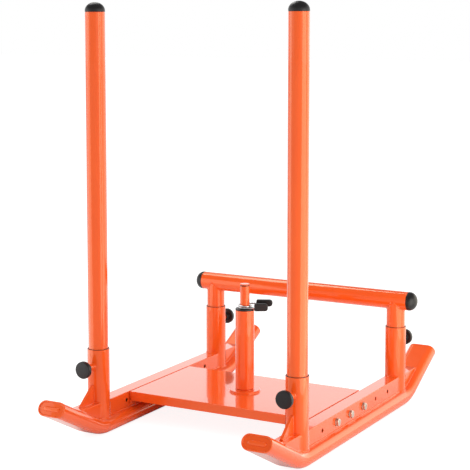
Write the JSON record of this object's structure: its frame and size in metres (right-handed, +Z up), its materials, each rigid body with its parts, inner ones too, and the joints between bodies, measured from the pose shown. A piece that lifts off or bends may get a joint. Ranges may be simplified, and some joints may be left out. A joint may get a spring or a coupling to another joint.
{
  "type": "drag sled",
  "caption": "Steel push and drag sled on bent oval skis, with removable uprights, a low push bar, spring pull pins and a post for weight plates held by a spring collar.",
  "frame": {"origin": "on the floor, midway between the four sockets, under the middle of the sled's overall box", "axes": "+X to the right when facing along the sled from the uprights to the push bar, +Y from the uprights (near end) to the push bar (far end), +Z up"},
  "size_m": [0.6926, 1.0378, 1.1023],
  "materials": {
    "orange_paint": "glossy orange powder coat",
    "black_plastic": "black moulded plastic, satin",
    "zinc_steel": "bright zinc plate",
    "chrome_wire": "polished chrome",
    "spring_steel": "bare spring steel"
  },
  "bodies": {
    "frame": {"ski_left": "orange_paint", "ski_end_near_left": "orange_paint", "ski_end_far_left": "orange_paint", "rail_left": "orange_paint", "plate_bolt_left_1": "zinc_steel", "plate_nut_left_1": "zinc_steel", "plate_bolt_left_2": "zinc_steel", "plate_nut_left_2": "zinc_steel", "plate_bolt_left_3": "zinc_steel", "plate_nut_left_3": "zinc_steel", "near_socket_left": "orange_paint", "gusset_left": "orange_paint", "far_socket_left": "orange_paint", "pin_housing_near_left": "orange_paint", "pin_housing_far_left": "orange_paint", "ski_right": "orange_paint", "ski_end_near_right": "orange_paint", "ski_end_far_right": "orange_paint", "rail_right": "orange_paint", "plate_bolt_right_1": "zinc_steel", "plate_nut_right_1": "zinc_steel", "plate_bolt_right_2": "zinc_steel", "plate_nut_right_2": "zinc_steel", "plate_bolt_right_3": "zinc_steel", "plate_nut_right_3": "zinc_steel", "near_socket_right": "orange_paint", "gusset_right": "orange_paint", "far_socket_right": "orange_paint", "pin_housing_near_right": "orange_paint", "pin_housing_far_right": "orange_paint", "base_plate": "orange_paint", "post_flange": "orange_paint", "weight_post": "orange_paint", "pin_spring_near_left": "spring_steel", "pin_spring_far_left": "spring_steel", "pin_spring_near_right": "spring_steel", "pin_spring_far_right": "spring_steel"},
    "upright_left": {"pole_left": "orange_paint", "pole_cap_left": "black_plastic"},
    "upright_right": {"pole_right": "orange_paint", "pole_cap_right": "black_plastic"},
    "push_bar": {"crossbar": "orange_paint", "crossbar_leg_left": "orange_paint", "crossbar_leg_right": "orange_paint", "crossbar_cap_left": "black_plastic", "crossbar_cap_right": "black_plastic"},
    "pull_pin_near_left": {"pin_plunger_near_left": "zinc_steel", "pin_knob_near_left": "black_plastic"},
    "pull_pin_near_right": {"pin_plunger_near_right": "zinc_steel", "pin_knob_near_right": "black_plastic"},
    "pull_pin_far_left": {"pin_plunger_far_left": "zinc_steel", "pin_knob_far_left": "black_plastic"},
    "pull_pin_far_right": {"pin_plunger_far_right": "zinc_steel", "pin_knob_far_right": "black_plastic"},
    "loading_sleeve": {"weight_sleeve": "orange_paint", "sleeve_ring": "black_plastic"},
    "collar": {"collar_coil": "chrome_wire"},
    "lower_lever": {"collar_grip_lower": "black_plastic"},
    "upper_lever": {"collar_grip_upper": "black_plastic"}
  },
  "joints": [
    {"name": "pole_left_lift", "type": "slide", "parent": "frame", "child": "upright_left", "axis": [0, 0, 1], "range_m": [0, 0.14]},
    {"name": "pole_right_lift", "type": "slide", "parent": "frame", "child": "upright_right", "axis": [0, 0, 1], "range_m": [0, 0.14]},
    {"name": "crossbar_lift", "type": "slide", "parent": "frame", "child": "push_bar", "axis": [0, 0, 1], "range_m": [0, 0.14]},
    {"name": "pin_near_left_pull", "type": "slide", "parent": "frame", "child": "pull_pin_near_left", "axis": [0, -1, 0], "range_m": [0, 0.008], "stiffness_N_per_m": 1500, "springref_m": -0.005, "deforming": ["pin_spring_near_left"]},
    {"name": "pin_near_right_pull", "type": "slide", "parent": "frame", "child": "pull_pin_near_right", "axis": [0, -1, 0], "range_m": [0, 0.008], "stiffness_N_per_m": 1500, "springref_m": -0.005, "deforming": ["pin_spring_near_right"]},
    {"name": "pin_far_left_pull", "type": "slide", "parent": "frame", "child": "pull_pin_far_left", "axis": [0, 1, 0], "range_m": [0, 0.008], "stiffness_N_per_m": 1500, "springref_m": -0.005, "deforming": ["pin_spring_far_left"]},
    {"name": "pin_far_right_pull", "type": "slide", "parent": "frame", "child": "pull_pin_far_right", "axis": [0, 1, 0], "range_m": [0, 0.008], "stiffness_N_per_m": 1500, "springref_m": -0.005, "deforming": ["pin_spring_far_right"]},
    {"name": "sleeve_lift", "type": "slide", "parent": "frame", "child": "loading_sleeve", "axis": [0, 0, 1], "range_m": [0, 0.285]},
    {"name": "collar_slide", "type": "slide", "parent": "loading_sleeve", "child": "collar", "axis": [0, 0, 1], "range_m": [0, 0.07]},
    {"name": "collar_lower_squeeze", "type": "hinge", "parent": "collar", "child": "lower_lever", "pos_m": [0, -0.041, 0.31], "axis": [0, 0, 1], "range_deg": [0, 5.5], "stiffness_Nm_per_rad": 4, "springref_deg": -5.73, "deforming": ["collar_coil"]},
    {"name": "collar_upper_squeeze", "type": "hinge", "parent": "collar", "child": "upper_lever", "pos_m": [0, -0.041, 0.31], "axis": [0, 0, 1], "range_deg": [-5.5, 0], "stiffness_Nm_per_rad": 4, "springref_deg": 5.73}
  ],
  "couplings": [
    {"joint": "collar_upper_squeeze", "follows": "collar_lower_squeeze", "ratio": -1}
  ]
}
